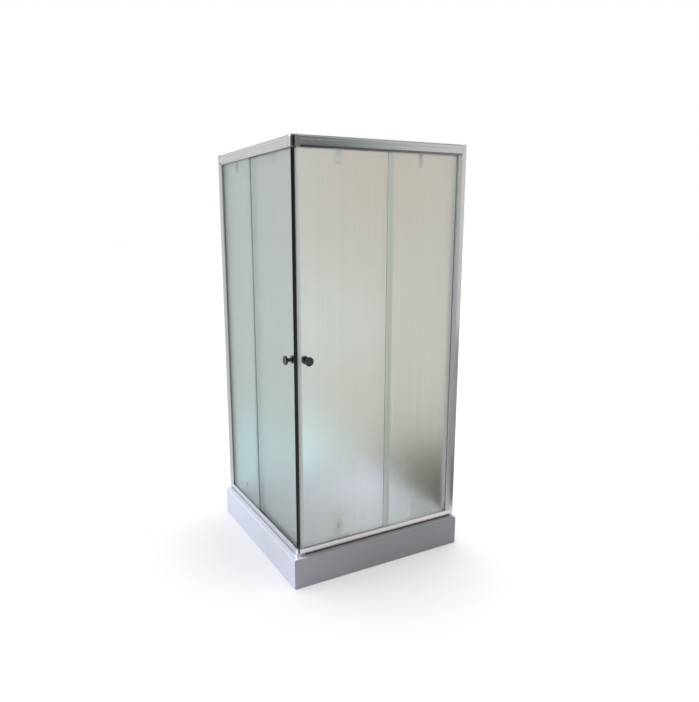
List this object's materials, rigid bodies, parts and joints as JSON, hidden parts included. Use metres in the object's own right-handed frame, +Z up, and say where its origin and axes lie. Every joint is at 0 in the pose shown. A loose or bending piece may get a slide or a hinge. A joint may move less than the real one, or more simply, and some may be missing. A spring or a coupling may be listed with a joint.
{
  "type": "shower enclosure with sliding door",
  "caption": "Square corner-entry shower enclosure: white tray, satin glass sides with fixed panels and corner doors that slide on rollers, magnetic seal and spool knobs.",
  "frame": {"origin": "centre of the square tray at floor level", "axes": "+Z up; the front glazed side faces -Y, the left glazed side faces -X, the room's walls stand at +X and +Y; the enclosure is its own mirror image across the upright plane x = y"},
  "size_m": [0.9, 0.9, 1.94],
  "materials": {
    "aluminium": "polished, bright anodised",
    "frosted_glass": "satin, faintly green toughened glass",
    "acrylic": "gloss white",
    "chrome": "polished",
    "chromed_plastic": "polished plating on plastic",
    "black_magnet": "satin black magnetic strip",
    "clear_vinyl": "clear soft extrusion",
    "grey_rubber": "matt",
    "nylon": "satin translucent moulding",
    "stainless": "brushed",
    "grey_plastic": "satin light grey moulding",
    "zinc_steel": "zinc plated"
  },
  "bodies": {
    "enclosure": {"front_header_rail": "aluminium", "front_bottom_rail": "aluminium", "front_wall_channel": "aluminium", "front_glazing_post": "aluminium", "front_rail_end_plugs": "grey_plastic", "front_fixed_glass": "frosted_glass", "front_fixed_glass_gasket": "grey_rubber", "front_fixed_glass_clips": "nylon", "front_door_stops": "grey_rubber", "left_header_rail": "aluminium", "left_bottom_rail": "aluminium", "left_wall_channel": "aluminium", "left_glazing_post": "aluminium", "left_rail_end_plugs": "grey_plastic", "left_fixed_glass": "frosted_glass", "left_fixed_glass_gasket": "grey_rubber", "left_fixed_glass_clips": "nylon", "left_door_stops": "grey_rubber", "frame_screws": "stainless", "tray": "acrylic", "support_frame": "zinc_steel", "feet": "zinc_steel", "waste_flange": "chrome", "trap": "grey_plastic", "trap_cap": "grey_plastic", "top_corner": "chromed_plastic", "bottom_corner": "chromed_plastic"},
    "front_door": {"front_door_glass": "frosted_glass", "front_magnet_strip": "black_magnet", "front_door_edge_seal": "clear_vinyl", "front_door_rear_seal": "clear_vinyl", "front_knob_outer": "chrome", "front_knob_inner": "chrome", "front_knob_stud": "stainless", "front_top_carriage": "nylon", "front_carriage_bolts": "nylon", "front_lower_carriage": "nylon", "front_release_spring": "stainless"},
    "front_release": {"front_lower_slider": "nylon"},
    "front_top_wheel_a": {"front_top_wheel_a": "nylon"},
    "front_top_wheel_b": {"front_top_wheel_b": "nylon"},
    "front_lower_wheel_a": {"front_lower_wheel_a": "nylon"},
    "front_lower_wheel_b": {"front_lower_wheel_b": "nylon"},
    "left_door": {"left_door_glass": "frosted_glass", "left_magnet_strip": "black_magnet", "left_door_edge_seal": "clear_vinyl", "left_door_rear_seal": "clear_vinyl", "left_knob_outer": "chrome", "left_knob_inner": "chrome", "left_knob_stud": "stainless", "left_top_carriage": "nylon", "left_carriage_bolts": "nylon", "left_lower_carriage": "nylon", "left_release_spring": "stainless"},
    "left_release": {"left_lower_slider": "nylon"},
    "left_top_wheel_a": {"left_top_wheel_a": "nylon"},
    "left_top_wheel_b": {"left_top_wheel_b": "nylon"},
    "left_lower_wheel_a": {"left_lower_wheel_a": "nylon"},
    "left_lower_wheel_b": {"left_lower_wheel_b": "nylon"},
    "drain_cover": {"drain_cover": "chrome"}
  },
  "joints": [
    {"name": "front_door_slide", "type": "slide", "parent": "enclosure", "child": "front_door", "axis": [1, 0, 0], "range_m": [0, 0.325]},
    {"name": "front_release_lift", "type": "slide", "parent": "front_door", "child": "front_release", "axis": [0, 0, 1], "range_m": [0, 0.008], "stiffness_N_per_m": 400, "springref_m": -0.005, "deforming": ["front_release_spring"]},
    {"name": "front_top_wheel_a_spin", "type": "hinge", "parent": "front_door", "child": "front_top_wheel_a", "pos_m": [-0.245, -0.3915, 1.9123], "axis": [0, 1, 0], "range_deg": [0, 1863.1]},
    {"name": "front_top_wheel_b_spin", "type": "hinge", "parent": "front_door", "child": "front_top_wheel_b", "pos_m": [-0.155, -0.3915, 1.9123], "axis": [0, 1, 0], "range_deg": [0, 1863.1]},
    {"name": "front_lower_wheel_a_spin", "type": "hinge", "parent": "front_release", "child": "front_lower_wheel_a", "pos_m": [-0.245, -0.3915, 0.1703], "axis": [0, 1, 0], "range_deg": [0, 1863.1]},
    {"name": "front_lower_wheel_b_spin", "type": "hinge", "parent": "front_release", "child": "front_lower_wheel_b", "pos_m": [-0.155, -0.3915, 0.1703], "axis": [0, 1, 0], "range_deg": [0, 1863.1]},
    {"name": "left_door_slide", "type": "slide", "parent": "enclosure", "child": "left_door", "axis": [0, 1, 0], "range_m": [0, 0.325]},
    {"name": "left_release_lift", "type": "slide", "parent": "left_door", "child": "left_release", "axis": [0, 0, 1], "range_m": [0, 0.008], "stiffness_N_per_m": 400, "springref_m": -0.005, "deforming": ["left_release_spring"]},
    {"name": "left_top_wheel_a_spin", "type": "hinge", "parent": "left_door", "child": "left_top_wheel_a", "pos_m": [-0.3915, -0.245, 1.9123], "axis": [-1, 0, 0], "range_deg": [0, 1863.1]},
    {"name": "left_top_wheel_b_spin", "type": "hinge", "parent": "left_door", "child": "left_top_wheel_b", "pos_m": [-0.3915, -0.155, 1.9123], "axis": [-1, 0, 0], "range_deg": [0, 1863.1]},
    {"name": "left_lower_wheel_a_spin", "type": "hinge", "parent": "left_release", "child": "left_lower_wheel_a", "pos_m": [-0.3915, -0.245, 0.1703], "axis": [-1, 0, 0], "range_deg": [0, 1863.1]},
    {"name": "left_lower_wheel_b_spin", "type": "hinge", "parent": "left_release", "child": "left_lower_wheel_b", "pos_m": [-0.3915, -0.155, 0.1703], "axis": [-1, 0, 0], "range_deg": [0, 1863.1]},
    {"name": "drain_cover_lift", "type": "slide", "parent": "enclosure", "child": "drain_cover", "axis": [0, 0, 1], "range_m": [0, 0.03]}
  ],
  "couplings": [
    {"joint": "front_top_wheel_a_spin", "follows": "front_door_slide", "rad_per_m": 100},
    {"joint": "front_top_wheel_b_spin", "follows": "front_door_slide", "rad_per_m": 100},
    {"joint": "front_lower_wheel_a_spin", "follows": "front_door_slide", "rad_per_m": 100},
    {"joint": "front_lower_wheel_b_spin", "follows": "front_door_slide", "rad_per_m": 100},
    {"joint": "left_top_wheel_a_spin", "follows": "left_door_slide", "rad_per_m": 100},
    {"joint": "left_top_wheel_b_spin", "follows": "left_door_slide", "rad_per_m": 100},
    {"joint": "left_lower_wheel_a_spin", "follows": "left_door_slide", "rad_per_m": 100},
    {"joint": "left_lower_wheel_b_spin", "follows": "left_door_slide", "rad_per_m": 100}
  ]
}
